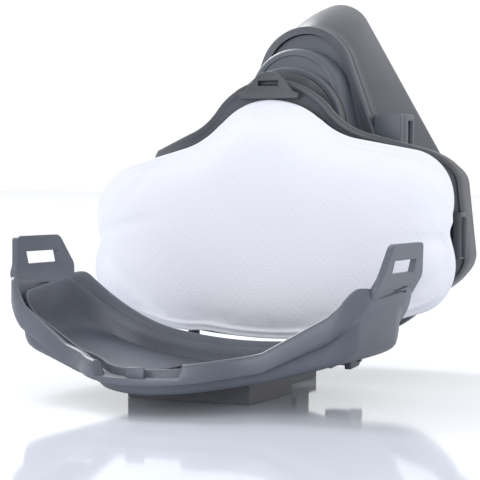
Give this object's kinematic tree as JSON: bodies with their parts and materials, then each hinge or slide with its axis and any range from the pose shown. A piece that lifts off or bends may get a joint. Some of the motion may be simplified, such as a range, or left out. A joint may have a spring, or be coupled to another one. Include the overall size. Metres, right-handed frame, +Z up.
{
  "type": "reusable half mask",
  "caption": "Reusable dust half mask standing on its own opened front cover, with a soft face cushion, hinged cover and replaceable white fabric filter pad.",
  "frame": {"origin": "on the resting surface, at the middle of the vent foot's sole plane, level with the middle of the cover's strap ears", "axes": "+Z up from the resting surface, +Y from the opened cover towards the face cushion, +X to the wearer's left side as seen from the front"},
  "size_m": [0.129, 0.1707, 0.1364],
  "materials": {
    "cover_plastic": "satin moulded polypropylene, mid grey",
    "frame_plastic": "satin moulded polypropylene, dark grey",
    "cushion_rubber": "soft satin thermoplastic elastomer, grey",
    "gasket_rubber": "matt black rubber",
    "valve_silicone": "soft translucent silicone, yellow-green",
    "filter_fabric": "white embossed non-woven electret fabric"
  },
  "bodies": {
    "cover": {"cover_bowl": "cover_plastic", "cover_rim": "cover_plastic", "ear_left": "cover_plastic", "ear_right": "cover_plastic", "vent_foot": "frame_plastic", "vent_grille": "frame_plastic", "chin_stop": "frame_plastic", "hinge_pin_left": "frame_plastic", "hinge_pin_right": "frame_plastic"},
    "facepiece": {"filter_frame": "frame_plastic", "support_grid": "frame_plastic", "side_lug_left": "frame_plastic", "side_lug_right": "frame_plastic", "port_neck": "frame_plastic", "lock_ring": "cover_plastic", "neck_gasket": "gasket_rubber", "inhale_valve_seat": "valve_silicone", "face_cup": "cover_plastic", "cup_boss": "cover_plastic", "clamp_ring": "cushion_rubber", "face_cushion": "cushion_rubber", "strap_loop_left": "cover_plastic", "strap_loop_right": "cover_plastic", "exhale_valve_seat": "valve_silicone", "exhale_valve_cap": "frame_plastic", "filter_center": "filter_fabric"},
    "nose_latch": {"nose_latch": "frame_plastic"},
    "inhale_disc": {"inhale_valve_disc": "valve_silicone"},
    "exhale_disc": {"exhale_valve_disc": "valve_silicone"},
    "filter_inner_left": {"filter_inner_left": "filter_fabric"},
    "filter_inner_right": {"filter_inner_right": "filter_fabric"},
    "filter_outer_left": {"filter_outer_left": "filter_fabric"},
    "filter_outer_right": {"filter_outer_right": "filter_fabric"}
  },
  "joints": [
    {"name": "cover_hinge", "type": "hinge", "parent": "cover", "child": "facepiece", "pos_m": [0, 0.0334, 0.01], "axis": [1, 0, 0], "range_deg": [0, 90]},
    {"name": "latch_flex", "type": "hinge", "parent": "facepiece", "child": "nose_latch", "pos_m": [0, 0.0398, 0.0998], "axis": [-1, 0, 0], "range_deg": [0, 12], "stiffness_Nm_per_rad": 0.02},
    {"name": "inhale_lift", "type": "slide", "parent": "facepiece", "child": "inhale_disc", "axis": [0, 1, 0], "range_m": [0, 0.0018], "stiffness_N_per_m": 4},
    {"name": "exhale_lift", "type": "slide", "parent": "facepiece", "child": "exhale_disc", "axis": [0, -1, 0], "range_m": [0, 0.0018], "stiffness_N_per_m": 4},
    {"name": "fold_inner_left", "type": "hinge", "parent": "facepiece", "child": "filter_inner_left", "pos_m": [-0.022, 0.0392, 0.05], "axis": [0, 0, -1], "range_deg": [0, 18.5]},
    {"name": "fold_outer_left", "type": "hinge", "parent": "filter_inner_left", "child": "filter_outer_left", "pos_m": [-0.046, 0.0392, 0.05], "axis": [0, 0, -1], "range_deg": [0, 32.5]},
    {"name": "fold_inner_right", "type": "hinge", "parent": "facepiece", "child": "filter_inner_right", "pos_m": [0.022, 0.0392, 0.05], "axis": [0, 0, 1], "range_deg": [0, 18.5]},
    {"name": "fold_outer_right", "type": "hinge", "parent": "filter_inner_right", "child": "filter_outer_right", "pos_m": [0.046, 0.0392, 0.05], "axis": [0, 0, 1], "range_deg": [0, 32.5]}
  ],
  "couplings": [
    {"joint": "fold_inner_left", "follows": "cover_hinge", "ratio": 0.2},
    {"joint": "fold_outer_left", "follows": "cover_hinge", "ratio": 0.3556},
    {"joint": "fold_inner_right", "follows": "cover_hinge", "ratio": 0.2},
    {"joint": "fold_outer_right", "follows": "cover_hinge", "ratio": 0.3556}
  ]
}
